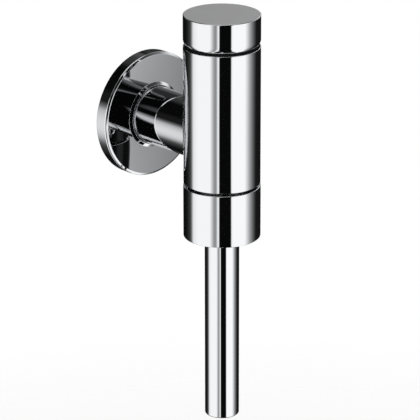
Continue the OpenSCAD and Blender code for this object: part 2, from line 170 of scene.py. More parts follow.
def to_linear(level):
    """A screen level from 0 to 255 as a linear brightness."""
    share = level / 255
    return share / 12.92 if share <= 0.04045 else ((share + 0.055) / 1.055) ** 2.4


# Finishes


# The colour inputs of a Mix node, which bear the same names as its number inputs
MIX_COLOUR_A = 6
MIX_COLOUR_B = 7
RING_DETAIL = 2.0
RING_SHARE = 0.6
DRIFT_SCALE = 120.0


def surface(name, base, roughness, relief, **constants):
    """A material with one Principled shader.

    base, roughness and relief are functions of the shader, and the constants are named after
    the Principled shader's inputs.
    """
    material = bpy.data.materials.new(name)
    shader = Shader(material)
    sockets = {key.replace("_", " "): value for key, value in constants.items()}
    sockets["Base Color"] = base(shader)
    sockets["Roughness"] = roughness(shader)
    height, depth = relief(shader)
    sockets["Normal"] = shader.node(
        "ShaderNodeBump", {}, {"Height": height, "Distance": depth, "Strength": 1.0}
    )["Normal"]
    principled = shader.node("ShaderNodeBsdfPrincipled", {}, sockets)
    shader.node("ShaderNodeOutputMaterial", {}, {"Surface": principled["BSDF"]})
    return material


def noise(shader, scale, detail=3.0, stretch=(1.0, 1.0, 1.0), place=None):
    """Noise in waves per metre, from 0 to 1, in object space or at the place given."""
    place = place or shader.node("ShaderNodeTexCoord")["Object"]
    place = shader.node(
        "ShaderNodeVectorMath", {"operation": "MULTIPLY"}, {0: place, 1: stretch}
    )["Vector"]
    return shader.node(
        "ShaderNodeTexNoise", {}, {"Vector": place, "Scale": scale, "Detail": detail}
    )["Fac"]


def round_the_axis(shader):
    """Radius and height on the valve's axis as a place, the same all the way round."""
    place = shader.node("ShaderNodeTexCoord")["Object"]
    off_axis = shader.node(
        "ShaderNodeVectorMath", {"operation": "SUBTRACT"}, {0: place, 1: (0, AXIS_Y * MM, 0)}
    )["Vector"]
    flat = shader.node(
        "ShaderNodeVectorMath", {"operation": "MULTIPLY"}, {0: off_axis, 1: (1, 1, 0)}
    )["Vector"]
    radius = shader.node("ShaderNodeVectorMath", {"operation": "LENGTH"}, {0: flat})["Value"]
    height = shader.node("ShaderNodeSeparateXYZ", {}, {"Vector": place})["Z"]
    return shader.node("ShaderNodeCombineXYZ", {}, {"X": radius, "Y": height})["Vector"]


def blend(shader, amount, first, second):
    """A colour between two, by an amount from 0 to 1."""
    made = shader.node("ShaderNodeMix", {"data_type": "RGBA"}, {"Factor": amount})
    mix = made["Result"].socket.node
    for key, colour in ((MIX_COLOUR_A, first), (MIX_COLOUR_B, second)):
        if isinstance(colour, Value):
            shader.tree.links.new(colour.socket, mix.inputs[key])
        else:
            mix.inputs[key].default_value = (*colour, 1)
    return made["Result"]


def varied(first, second, scale, detail=3.0):
    """A base colour that drifts between two over the surface."""
    return lambda shader: blend(shader, noise(shader, scale, detail), first, second)


def uneven(low, high, scale, detail=3.0):
    """A roughness that drifts between two over the surface."""
    return lambda shader: low + (high - low) * noise(shader, scale, detail)


def grain(depth, scale, detail=3.0, stretch=(1.0, 1.0, 1.0)):
    """A fine relief, depth in millimetres."""
    return lambda shader: (noise(shader, scale, detail, stretch), depth * MM)


def rings(shader, scale):
    """Noise in fine rings round the valve's axis."""
    return noise(shader, scale, RING_DETAIL, place=round_the_axis(shader))


def turning_marks(depth, scale):
    """The fine rings that a lathe tool leaves, depth in millimetres."""
    return lambda shader: (rings(shader, scale), depth * MM)


def marked_roughness(low, high, scale):
    """A roughness in fine rings round the axis, with a slow drift."""
    return lambda shader: (
        low
        + (high - low) * RING_SHARE * rings(shader, scale)
        + (high - low) * (1 - RING_SHARE) * noise(shader, DRIFT_SCALE)
    )


def make_finishes():
    """All materials of the valve, by the names that the pieces use."""
    return {
        "chrome": surface(
            "polished_chrome", varied((0.905, 0.915, 0.93), (0.885, 0.9, 0.92), 40.0),
            uneven(0.006, 0.03, 70.0, 4.0), grain(0.0006, 260.0, 2.0), Metallic=1.0,
        ),
        "satin_chrome": surface(
            "satin_chrome", varied((0.5, 0.502, 0.508), (0.46, 0.462, 0.47), 180.0, 5.0),
            marked_roughness(0.28, 0.42, 1600.0), turning_marks(0.004, 1500.0), Metallic=0.35,
        ),
        # A darker copy of the chrome for the rosette's flat face: painted shade that dims its
        # reflection.
        "pressed_chrome": surface(
            "pressed_chrome", varied((0.535, 0.542, 0.553), (0.515, 0.522, 0.535), 40.0),
            uneven(0.006, 0.03, 60.0, 4.0), grain(0.001, 110.0, 2.0), Metallic=1.0,
        ),
        "brass": surface(
            "turned_brass", varied((0.80, 0.62, 0.32), (0.66, 0.47, 0.22), 130.0, 5.0),
            marked_roughness(0.14, 0.38, 1400.0), turning_marks(0.012, 1200.0), Metallic=1.0,
        ),
        "steel": surface(
            "turned_steel", varied((0.62, 0.63, 0.65), (0.54, 0.55, 0.57), 150.0, 4.0),
            marked_roughness(0.15, 0.36, 1500.0), turning_marks(0.01, 1400.0), Metallic=1.0,
        ),
        "wire": surface(
            "spring_wire", varied((0.58, 0.59, 0.61), (0.46, 0.465, 0.48), 500.0, 4.0),
            uneven(0.18, 0.4, 900.0, 3.0), grain(0.006, 2200.0, 3.0), Metallic=1.0,
        ),
        "rubber": surface(
            "black_rubber", varied((0.018, 0.018, 0.02), (0.045, 0.045, 0.048), 260.0, 6.0),
            uneven(0.5, 0.78, 420.0, 5.0), grain(0.012, 2600.0, 5.0), Specular_IOR_Level=0.4,
        ),
        "foam": surface(
            "cellular_foam", varied((0.05, 0.05, 0.055), (0.02, 0.02, 0.022), 1500.0, 4.0),
            uneven(0.82, 0.98, 900.0, 3.0), grain(0.12, 1300.0, 4.0), Specular_IOR_Level=0.2,
        ),
        "fibre": surface(
            "red_fibre", varied((0.42, 0.085, 0.05), (0.29, 0.05, 0.035), 900.0, 7.0),
            uneven(0.7, 0.92, 1500.0, 5.0), grain(0.03, 1900.0, 7.0, (1.0, 0.35, 0.35)),
            Specular_IOR_Level=0.3,
        ),
        "white_plastic": surface(
            "white_acetal", varied((0.80, 0.80, 0.765), (0.74, 0.735, 0.69), 90.0, 4.0),
            uneven(0.3, 0.46, 260.0, 4.0), grain(0.004, 700.0, 4.0),
        ),
        "grey_plastic": surface(
            "grey_plastic", varied((0.18, 0.19, 0.21), (0.145, 0.152, 0.17), 110.0, 4.0),
            uneven(0.34, 0.52, 300.0, 4.0), grain(0.006, 1100.0, 4.0),
        ),
        "black_plastic": surface(
            "black_plastic", varied((0.016, 0.016, 0.018), (0.028, 0.028, 0.03), 180.0, 4.0),
            uneven(0.36, 0.56, 420.0, 4.0), grain(0.006, 1300.0, 4.0),
        ),
        # This near-black finish also stands on the cap's skirt, as painted shade in the gap
        # between the cap and the body.
        "dark_coat": surface(
            "dark_sliding_coat", varied((0.005, 0.005, 0.006), (0.009, 0.009, 0.01), 300.0),
            uneven(0.55, 0.7, 500.0), grain(0.003, 1500.0), Specular_IOR_Level=0.1,
        ),
        # Blackened brass for the breaker's body. On the pipe's bottom end the same near-black is
        # painted shade.
        "dark_brass": surface(
            "blackened_brass", varied((0.05, 0.043, 0.036), (0.03, 0.026, 0.022), 200.0, 5.0),
            marked_roughness(0.35, 0.55, 1400.0), turning_marks(0.01, 1200.0), Metallic=1.0,
        ),
        "blue_plastic": surface(
            "blue_plastic", varied((0.05, 0.12, 0.36), (0.038, 0.095, 0.3), 120.0, 4.0),
            uneven(0.24, 0.4, 280.0, 4.0), grain(0.004, 900.0, 4.0),
        ),
    }


# The valve's own axis is the pipe's
AXIS_Y = cad("flush_pipe")[0].y / 2 + cad("flush_pipe")[1].y / 2
FINISHES = make_finishes()


# Shapes


SIDES = 256
PIPE_SIDES = 128
# A multiple of 6, so that the nipple's hexagon has a point at each corner
NIPPLE_SIDES = 252
# The most degrees that a step of a rounded corner turns
ARC_STEP = 12.0
# A rounded corner takes at most this share of its shorter side, with a point SUPPORT beyond it
ROOM_SHARE = 0.48
SUPPORT = 0.1
SHARP_ANGLE = math.radians(30)
# A face whose normal reaches this far along an axis is square to it
SQUARE = 0.99


def corner(x, y, radius):
    """A corner of an outline, which rounded() turns into an arc."""
    return x, y, radius


def arc(x, y, radius, start, end, steps):
    """Points on an arc, with its angles in degrees from +x."""
    angles = [math.radians(start + (end - start) * i / steps) for i in range(steps + 1)]
    return [(x + radius * math.cos(a), y + radius * math.sin(a)) for a in angles]


def rounded(outline):
    """Turns the corners of a closed outline into arcs, with a point close by on each side.

    Those points keep the soft shading of the arc off the straight sides next to it.
    """
    points = []
    for index, place in enumerate(outline):
        if len(place) == 2:
            points.append(place)
            continue
        here = Vector(place[:2])
        back = Vector(outline[index - 1][:2]) - here
        ahead = Vector(outline[(index + 1) % len(outline)][:2]) - here
        room = ROOM_SHARE * min(back.length, ahead.length)
        back.normalize()
        ahead.normalize()
        half = back.angle(ahead) / 2
        reach = min(place[2] / math.tan(half), room)
        radius = reach * math.tan(half)
        support = min(SUPPORT, room)
        points.append(tuple(here + back * (reach + support)))
        if radius > 0:
            centre = here + (back + ahead).normalized() * radius / math.sin(half)
            first = here + back * reach - centre
            turn = first.angle_signed(here + ahead * reach - centre)
            steps = max(2, math.ceil(abs(math.degrees(turn)) / ARC_STEP))
            for i in range(steps + 1):
                angle = -turn * i / steps
                spun = Vector((
                    first.x * math.cos(angle) - first.y * math.sin(angle),
                    first.x * math.sin(angle) + first.y * math.cos(angle),
                ))
                points.append(tuple(centre + spun))
        else:
            points.append(tuple(here))
        points.append(tuple(here + ahead * (reach + support)))
    return points


def upright(x, angle, height):
    """A point of a lathe outline that turns on the valve's axis."""
    return x * math.cos(angle), AXIS_Y + x * math.sin(angle), height


def into_room(x, angle, height):
    """A point of a lathe outline that turns on the inlet axis, height being off the wall."""
    return x * math.cos(angle), -height, x * math.sin(angle)


def turned_mesh(outline, place, sides=SIDES):
    """A lathe mesh from a closed outline of (radius, height) points, in metres.

    The outline may be a function of the angle that gives as many points at each angle.
    """
    turns = [2 * math.pi * i / sides for i in range(sides)]
    cuts = [outline(angle) if callable(outline) else outline for angle in turns]
    mesh = bmesh.new()
    circles = []
    for index, (x, height) in enumerate(cuts[0]):
        if x <= 0:
            circles.append([mesh.verts.new(Vector(place(0, 0, height)) * MM)] * sides)
        else:
            circles.append([
                mesh.verts.new(Vector(place(cut[index][0], angle, cut[index][1])) * MM)
                for cut, angle in zip(cuts, turns)
            ])
    for low, high in zip(circles, circles[1:] + circles[:1]):
        for i in range(sides):
            ahead = (i + 1) % sides
            loop = list(dict.fromkeys([low[i], low[ahead], high[ahead], high[i]]))
            if len(loop) > 2:
                mesh.faces.new(loop)
    bmesh.ops.recalc_face_normals(mesh, faces=mesh.faces)
    return mesh


TURN_STEPS = 40
WIRE_SIDES = 14
# The rise of a spring's end turn, over the wire's radius
CLOSED_RISE = 2.5


def wound_mesh(middle, wire, low, high, turns, place):
    """A wound spring with a closed turn at each end, in metres. wire is the wire's radius."""
    closed = wire * CLOSED_RISE
    pitch = (high - low - 2 * wire - 2 * closed) / (turns - 2)
    mesh = bmesh.new()
    loops = []
    for i in range(turns * TURN_STEPS + 1):
        turn = i / TURN_STEPS
        rise = closed * min(turn, 1) + pitch * min(max(turn - 1, 0), turns - 2)
        rise += closed * max(turn - turns + 1, 0)
        loops.append([
            mesh.verts.new(Vector(place(
                middle + wire * math.cos(2 * math.pi * k / WIRE_SIDES), 2 * math.pi * turn,
                low + wire + rise + wire * math.sin(2 * math.pi * k / WIRE_SIDES),
            )) * MM)
            for k in range(WIRE_SIDES)
        ])
    for here, ahead in zip(loops, loops[1:]):
        for k in range(WIRE_SIDES):
            beside = (k + 1) % WIRE_SIDES
            mesh.faces.new([here[k], here[beside], ahead[beside], ahead[k]])
    mesh.faces.new(loops[0])
    mesh.faces.new(loops[-1])
    bmesh.ops.recalc_face_normals(mesh, faces=mesh.faces)
    return mesh


def as_object(name, mesh, finish):
    """An object in the scene from a bmesh, which is used up."""
    data = bpy.data.meshes.new(name)
    mesh.to_mesh(data)
    mesh.free()
    data.polygons.foreach_set("use_smooth", [True] * len(data.polygons))
    data.set_sharp_from_angle(angle=SHARP_ANGLE)
    data.materials.append(FINISHES[finish])
    made = bpy.data.objects.new(name, data)
    scene.collection.objects.link(made)
    return made


def coat(piece, finish, chosen):
    """Gives the chosen faces of a piece their own finish."""
    materials = piece.data.materials
    materials.append(FINISHES[finish])
    for face in piece.data.polygons:
        if chosen(face):
            face.material_index = len(materials) - 1


def stands_for(piece, node, body):
    """A chromed piece rides on a body and takes the place of a CAD node."""
    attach(piece, body)
    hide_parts(node)


CAP_ROLL = 4.1
CAP_ROLL_STEPS = 14
CAP_SIDE_H = 12.7
CAP_SIDE_LOW_H = 0.6
CAP_EDGE_R = 0.4
SKIRT_IN = 1.4
CAP_WALL = 1.4
CAP_TOP_H = 4.0
CAP_TOP_BAND = 1.0


def build_push_cap():
    """The cap with its rolled lower edge and satin top, and the skirt under it, near-black as
    painted shade in the gap.
    """
    low, high = cad("push_cap")
    radius = high.x
    skirt_r = radius - SKIRT_IN
    inner_r = skirt_r - CAP_WALL
    side_low = high.z - CAP_SIDE_H
    turn = math.degrees(math.acos(1 - SKIRT_IN / CAP_ROLL))
    under = high.z - CAP_TOP_H
    roll = arc(radius - CAP_ROLL, side_low, CAP_ROLL, -turn, 0, CAP_ROLL_STEPS)
    bottom = roll[0][1]
    shell = rounded([
        (inner_r, bottom), *roll, (radius, side_low + CAP_SIDE_LOW_H),
        corner(radius, high.z, CAP_EDGE_R), (0, high.z), (0, under),
        corner(inner_r, under, 0.3),
    ])
    cap = as_object("push_cap_turned", turned_mesh(shell, upright), "chrome")
    coat(cap, "satin_chrome", lambda face: (
        face.normal.z > SQUARE and face.center.z > (high.z - CAP_TOP_BAND) * MM
    ))
    stands_for(cap, "push_cap", "button")
    tube = rounded([
        corner(inner_r, low.z, 0.2), corner(skirt_r, low.z, 0.2),
        (skirt_r, bottom), (inner_r, bottom),
    ])
    # The skirt is near-black: painted shade in the gap between the cap and the body's rim.
    skirt = as_object("push_cap_skirt", turned_mesh(tube, upright), "dark_coat")
    stands_for(skirt, "push_cap", "button")


SLEEVE_HOLE_R = 9.15
SLEEVE_FLOOR_H = 3.4
SLEEVE_GLAND_R = 13.1
SLEEVE_GLAND_H = 7.0
SLEEVE_THREAD_R = 17.0
SLEEVE_THREAD_H = 12.5
SLEEVE_MOUTH_R = 17.8


def build_outlet_sleeve():
    """The sleeve, which is the pipe's union nut: pipe hole, gland, inner thread and mouth."""
    low, high = cad("outlet_sleeve")
    floor_z = low.z + SLEEVE_FLOOR_H
    gland_z = low.z + SLEEVE_GLAND_H
    thread_z = low.z + SLEEVE_THREAD_H
    outline = rounded([
        corner(SLEEVE_HOLE_R, low.z, 0.2), corner(high.x, low.z, 0.35),
        corner(high.x, high.z, 0.35), corner(SLEEVE_MOUTH_R, high.z, 0.2),
        corner(SLEEVE_MOUTH_R, thread_z, 0.05), corner(SLEEVE_THREAD_R, thread_z, 0.05),
        corner(SLEEVE_THREAD_R, gland_z, 0.05), corner(SLEEVE_GLAND_R, gland_z, 0.05),
        corner(SLEEVE_GLAND_R, floor_z, 0.1), corner(SLEEVE_HOLE_R, floor_z, 0.1),
    ])
    sleeve = as_object("outlet_sleeve_turned", turned_mesh(outline, upright), "chrome")
    stands_for(sleeve, "outlet_sleeve", "valve")


PIPE_R = 9.0
PIPE_IN_R = 8.0
PIPE_TOP_R = 8.75
PIPE_STEP_DROP = 0.3
PIPE_ROLL = 0.8
PIPE_ROLL_STEPS = 10
PIPE_ROLL_END = 0.9
PIPE_BEVEL = 0.15
SHADED_END_H = 1.0
# Faces near the bottom that look down more than this are made near-black: painted shade on the
# cut end
SHADED_END_SLANT = 0.35


def build_flush_pipe():
    """The drawn pipe: a little thinner from the sleeve up, with a rounded cut end in near-black
    as painted shade.
    """
    low, high = cad("flush_pipe")
    step = cad("outlet_sleeve")[0].z - PIPE_STEP_DROP
    roll = arc(
        PIPE_R - PIPE_ROLL, low.z + PIPE_ROLL, PIPE_ROLL, -90, 0, PIPE_ROLL_STEPS
    )
    outline = rounded([
        (PIPE_IN_R, low.z + PIPE_BEVEL), *roll, (PIPE_R, low.z + PIPE_ROLL_END),
        corner(PIPE_R, step, 0.1), corner(PIPE_TOP_R, step, 0), corner(PIPE_TOP_R, high.z, 0.2),
        corner(PIPE_IN_R, high.z, 0.2),
    ])
    mesh = turned_mesh(outline, upright, PIPE_SIDES)
    pipe = as_object("flush_pipe_drawn", mesh, "chrome")
    # The downward faces of the bottom end get the near-black brass: painted shade.
    coat(pipe, "dark_brass", lambda face: (
        face.normal.z < -SHADED_END_SLANT and face.center.z < (low.z + SHADED_END_H) * MM
    ))
    stands_for(pipe, "flush_pipe", "valve")


RIM_Z = 48.6
SHOULDER_Z = -24.2
COLLAR_Z = 38.2
THREAD_LOW_Z = 34.2
HEAD_LOW_Z = 26.7
CYLINDER_HIGH_Z = HEAD_LOW_Z - 0.3
CHAMBER_LOW_Z = -9.3
SEAT_FLOOR_Z = -14.0
TAIL_R = 13.5
OUTLET_R = 8.5
SEAT_R = 11.0
CYLINDER_R = 14.5
HEAD_R = 15.0
HEAD_THREAD_R = 15.9
COLLAR_R = 19.0
RIM_BEVEL = 0.4
PORT_R = 6.0
PORT_END = -12.5
SOCKET_R = 10.0
SOCKET_FLOOR = 16.0
SOCKET_MOUTH = 1.0
SPIGOT_R = 15.4
SPIGOT_END = 2.5
SPIGOT_STRAIGHT = 6.0
FILLET = 1.3
FILLET_STEPS = 8
TOUCH_ROUNDS = 6
# How far the solids of a Boolean reach past the face that they cut or join
PAST = 1.0


def spigot_outline(angle, body_r):
    """The spigot from its end by the wall into the body, with a fillet on the body's side.

    The body's side is a curve in the half plane at this angle: height over radius. The place
    where the fillet touches it is found in a few rounds.
    """
    across = math.cos(angle)

    def side(x):
        return -AXIS_Y - math.sqrt(body_r**2 - (x * across) ** 2)

    def slope(x):
        return x * across**2 / math.sqrt(body_r**2 - (x * across) ** 2)

    middle = SPIGOT_R + FILLET
    touch = middle
    for _ in range(TOUCH_ROUNDS):
        lean = math.atan(slope(touch))
        touch = middle - FILLET * math.sin(lean)
    centre = side(touch) - FILLET * math.cos(lean)
    fillet = [
        (middle - FILLET * math.cos(turn), centre + FILLET * math.sin(turn))
        for turn in [(math.pi / 2 - lean) * i / FILLET_STEPS for i in range(FILLET_STEPS + 1)]
    ]
    end_x, end_height = fillet[-1]
    return rounded([
        (0, -AXIS_Y), (0, SPIGOT_END), corner(SPIGOT_R, SPIGOT_END, 0.4),
        (SPIGOT_R, SPIGOT_END + SPIGOT_STRAIGHT),
    ]) + fillet + [(end_x, end_height + PAST)]


def join(first, second, operation):
    """Applies a Boolean to the first object. The second is used up."""
    cut = first.modifiers.new("join", "BOOLEAN")
    cut.operation = operation
    cut.solver = "EXACT"
    cut.object = second
    bpy.context.view_layer.update()
    depsgraph = bpy.context.evaluated_depsgraph_get()
    data = bpy.data.meshes.new_from_object(first.evaluated_get(depsgraph))
    first.modifiers.clear()
    first.data = data
    bpy.data.objects.remove(second)


WELD = 0.005


def mend(piece):
    """Welds the points that a Boolean leaves double and closes the faces that it drops."""
    mesh = bmesh.new()
    mesh.from_mesh(piece.data)
    bmesh.ops.remove_doubles(mesh, verts=mesh.verts, dist=WELD * MM)
    bmesh.ops.dissolve_degenerate(mesh, edges=mesh.edges, dist=WELD * MM)
    gaps = [edge for edge in mesh.edges if len(edge.link_faces) == 1]
    for face in bmesh.ops.holes_fill(mesh, edges=gaps)["faces"]:
        face.smooth = True
    loose = [edge for edge in mesh.edges if not edge.link_faces]
    bmesh.ops.delete(mesh, geom=loose, context="EDGES")
    bmesh.ops.recalc_face_normals(mesh, faces=mesh.faces)
    mesh.to_mesh(piece.data)
    mesh.free()


def build_valve_body():
    """The body with its tail and bores, the spigot, and the bore and socket of the inlet."""
    low = cad("valve_body")[0]
    tail_z = low.z
    radius = -low.x
    outer = rounded([
        (0, tail_z), corner(TAIL_R, tail_z, 0.2), corner(TAIL_R, SHOULDER_Z, 0.3),
        corner(radius, SHOULDER_Z, 0.3), corner(radius, RIM_Z, 0.25), (0, RIM_Z),
    ])
    mouth_r = COLLAR_R + RIM_BEVEL
    bores = [
        (0, tail_z - PAST), (OUTLET_R, tail_z - PAST), (OUTLET_R, SEAT_FLOOR_Z),
        (SEAT_R, SEAT_FLOOR_Z), (SEAT_R, CHAMBER_LOW_Z), (CYLINDER_R, CHAMBER_LOW_Z),
        (CYLINDER_R, CYLINDER_HIGH_Z), (HEAD_R, CYLINDER_HIGH_Z), (HEAD_R, THREAD_LOW_Z),
        (HEAD_THREAD_R, THREAD_LOW_Z), (HEAD_THREAD_R, COLLAR_Z), (COLLAR_R, COLLAR_Z),
        (COLLAR_R, RIM_Z - RIM_BEVEL), (mouth_r, RIM_Z), (mouth_r, RIM_Z + PAST),
        (0, RIM_Z + PAST),
    ]
    port_end = -AXIS_Y + PORT_END
    socket = [
        (0, port_end), (PORT_R, port_end), (PORT_R, SOCKET_FLOOR), (SOCKET_R, SOCKET_FLOOR),
        (SOCKET_R, SOCKET_MOUTH), (0, SOCKET_MOUTH),
    ]
    body = as_object("valve_body_turned", turned_mesh(outer, upright), "chrome")
    for outline, place, operation in (
        (lambda angle: spigot_outline(angle, radius), into_room, "UNION"),
        (bores, upright, "DIFFERENCE"),
        (socket, into_room, "DIFFERENCE"),
    ):
        tool = as_object("tool", turned_mesh(outline, place), "chrome")
        join(body, tool, operation)
    mend(body)
    body.data.set_sharp_from_angle(angle=SHARP_ANGLE)
    stands_for(body, "valve_body", "valve")


THREAD_R = 10.4775
THREAD_PITCH = 1.814
THREAD_DEPTH = 1.0
THREAD_H = 13.5
THREAD_STEPS = 16
THREAD_FLAT = 0.14
CHAMFER = 1.0
FLANGE_R = 12.0
FLANGE_OFF_WALL = 1.0
KEY_FLAT_R = 6.2
KEY_H = 10.0
TRAP_R = 8.6
TRAP_H = 3.5


def thread_groove(turn):
    """The depth of the thread's groove at a share of a turn: flat crest and root, straight sides.

    THREAD_FLAT is the share of a turn that is crest, and that is root.
    """
    from_crest = abs(2 * (turn % 1) - 1)
    flank = (from_crest - THREAD_FLAT) / (1 - 2 * THREAD_FLAT)
    return THREAD_DEPTH * min(1, max(0, flank))


def nipple_outline(angle):
    """The nipple at an angle: flange, cut wall thread, and a hexagon for the key in its bore."""
    end = -cad("inlet_nipple")[0].y
    step = THREAD_PITCH / THREAD_STEPS
    threads = []
    for i in range(round(THREAD_H / step)):
        height = -step * i
        chamfered = min(THREAD_R, THREAD_R - CHAMFER + THREAD_H + height)
        groove = thread_groove(height / THREAD_PITCH + angle / (2 * math.pi))
        threads.append((min(chamfered, THREAD_R - groove), height))
    thread_end_r = THREAD_R - CHAMFER
    sixth = math.pi / 3
    key = KEY_FLAT_R / math.cos(angle % sixth - sixth / 2)
    key_high = end - TRAP_H
    key_low = end - TRAP_H - KEY_H
    return rounded([
        corner(TRAP_R, end, 0.1), corner(SOCKET_R, end, 0.2), corner(SOCKET_R, SPIGOT_END, 0.1),
        corner(FLANGE_R, SPIGOT_END, 0.2), corner(FLANGE_R, FLANGE_OFF_WALL, 0.2),
        (THREAD_R - THREAD_DEPTH, FLANGE_OFF_WALL),
    ]) + threads + [
        (thread_end_r, -THREAD_H), (PORT_R, -THREAD_H), (PORT_R, key_low), (key, key_low),
        (key, key_high), (TRAP_R, key_high),
    ]


def build_inlet_nipple():
    mesh = turned_mesh(nipple_outline, into_room, NIPPLE_SIDES)
    stands_for(as_object("inlet_nipple_turned", mesh, "chrome"), "inlet_nipple", "valve")


ROSETTE_FACE = 7.9
# The face falls this much from the hub to the rim, with this power of the way
ROSETTE_FALL = 0.45
ROSETTE_BULGE = 1.4
DOME_STEPS = 12
RIM_IN = 1.3
RIM_CHAMFER = 0.7
RIM_TURN_IN = 2.2
RIM_TURN_DOWN = 1.9
SHEET = 0.9
HUB_GAP = 0.3
HUB_FOOT = 2.15
HUB_H = 1.35
HUB_LIP = 0.25
HUB_LIP_H = 0.3
CUP_R = 18.2
CUP_LOW = 3.7


def build_rosette():
    """The pressed rosette: rim, slightly domed face, hub, and the cup inside for its bush."""
    outer = cad("wall_rosette")[1].x
    edge = ROSETTE_FACE - ROSETTE_FALL
    back = ROSETTE_FACE - SHEET
    hub_top = ROSETTE_FACE + HUB_H
    hole = SPIGOT_R + HUB_GAP
    hub_foot = SPIGOT_R + HUB_FOOT
    cup_out = CUP_R + SHEET
    rim = outer - RIM_IN
    shares = [i / DOME_STEPS for i in range(1, DOME_STEPS)]
    dome = [
        (
            rim + (hub_foot - rim) * share,
            ROSETTE_FACE - ROSETTE_FALL * (1 - share) ** ROSETTE_BULGE,
        )
        for share in shares
    ]
    outline = rounded([
        corner(outer - SHEET, 0, 0.2), corner(outer, 0, 0.25),
        corner(outer, edge - RIM_CHAMFER, 0.75), corner(rim, edge, 0.9), *dome,
        corner(hub_foot, ROSETTE_FACE, 0.25), corner(hole + HUB_LIP, hub_top, 0.6),
        corner(hole, hub_top - HUB_LIP_H, 0.1), corner(hole, back, 0.1),
        corner(CUP_R, back, 0.05), corner(CUP_R, CUP_LOW, 0.1),
        corner(cup_out, CUP_LOW, 0.1), corner(cup_out, back, 0.3),
        corner(outer - RIM_TURN_IN, edge - SHEET, 0.5),
        corner(outer - SHEET, edge - RIM_TURN_DOWN, 0.3),
    ])
    rosette = as_object("wall_rosette_pressed", turned_mesh(outline, into_room), "chrome")
    # The flat face takes the darker chrome copy: painted shade on the face's reflection.
    coat(rosette, "pressed_chrome", lambda face: (
        face.normal.y < -SQUARE and face.center.xz.length > hub_foot * MM
    ))
    stands_for(rosette, "wall_rosette", "rosette")


def build_springs():
    """Both springs as wound wire meshes, standing where their CAD nodes stand."""
    for node, wire, turns, under, over in (
        ("button_spring", 0.55, 8, "valve", "button"),
        ("piston_spring", 0.45, 6, "piston", "valve"),
    ):
        low, high = cad(node)
        mesh = wound_mesh(high.x - wire, wire, low.z, high.z, turns, upright)
        spring = as_object(node + "_wound", mesh, "wire")
        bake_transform(spring)
        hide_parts(node)


# The CAD nodes have the finish of their material slot, or one of their own
slot_of = {part["node"]: part["material_slot"] for part in frame["record"]["subparts"]}
OWN_FINISH = {"pilot_clip": "wire", "rosette_gasket": "foam", "breaker_body": "dark_brass"}
for node_name, thing in nodes.items():
    for slot in thing.material_slots:
        slot.material = FINISHES[OWN_FINISH.get(node_name, slot_of[node_name])]

build_push_cap()
build_valve_body()
build_inlet_nipple()
build_outlet_sleeve()
build_flush_pipe()
build_rosette()
build_springs()


# Studio


# What metal mirrors: bright and dark boards round the valve, from (azimuth in degrees, screen
# level from 0 to 255). Two ceilings of boards follow above them, and a bright zenith.
STUDIO_BANDS = [
    (-180, 14), (-169, 26), (-159.5, 45), (-153.8, 58), (-149.5, 82), (-145.5, 130),
    (-141.5, 190), (-137.5, 228), (-129.8, 238), (-118, 246), (-80, 246), (-73, 200),
    (-68.6, 160), (-63, 134), (-58.6, 178), (-56, 240), (-52.6, 240), (-51.8, 8), (-18, 8),
    (-15.5, 235), (-11, 250), (27, 250), (31.5, 235), (39.2, 200), (47.5, 155), (56, 120),
    (65, 76), (76, 24), (112, 18), (125, 48), (142, 48), (155, 14),
]
LOW_CEILING_BANDS = [
    (-180, 140), (-175, 140), (-168, 24), (-126, 24), (-112, 225), (-86, 225), (-74, 8),
    (-16, 8), (4, 70), (40, 120), (56, 225), (100, 235), (114, 225), (126, 20), (165, 20),
    (175, 140),
]
HIGH_CEILING_BANDS = [
    (-180, 8), (-150, 10), (-138, 25), (-118, 28), (-100, 120), (-62, 120), (-52, 8), (-12, 8),
    (4, 56), (40, 60), (60, 120), (110, 120), (134, 56), (146, 46), (156, 12),
]
# Where each of them fades in over the one below, from (elevation in degrees, share)
LOW_CEILING_MASK = [(3, 0), (14, 1)]
HIGH_CEILING_MASK = [(23, 0), (29, 1)]
ZENITH_MASK = [(58, 0), (66, 1)]
ZENITH = to_linear(240)
# Chrome mirrors this share of a board's light
CHROME_SHARE = 0.92
# Under this height of the direction, the point where the boards meet moves off, away from the
# camera's side
WIDEN_BELOW = -0.743
WIDEN = 2.5
# The boards lean: their azimuth shifts by this many radians over a height of 1, counted from
# BAND_LEVEL. Below that level, those past TURN_BACK lean the other way.
BAND_LEAN = 0.338
BAND_LEVEL = -0.32
TURN_BACK = (math.radians(-60), math.radians(-42))
LEAN_BACK = 0.65
MATT_LIGHT = (0.9, 0.9, 0.9)
WHITE = (1.0, 1.0, 1.0)


def round_stops(bands):
    """Ramp stops right round the horizon, so bright that chrome shows the screen levels."""
    return [((angle + 180) / 360, to_linear(level) / CHROME_SHARE) for angle, level in bands]


def height_stops(mask):
    """Ramp stops up the sky, by the sine of the elevation."""
    return [(math.sin(math.radians(angle)) / 2 + 0.5, share) for angle, share in mask]


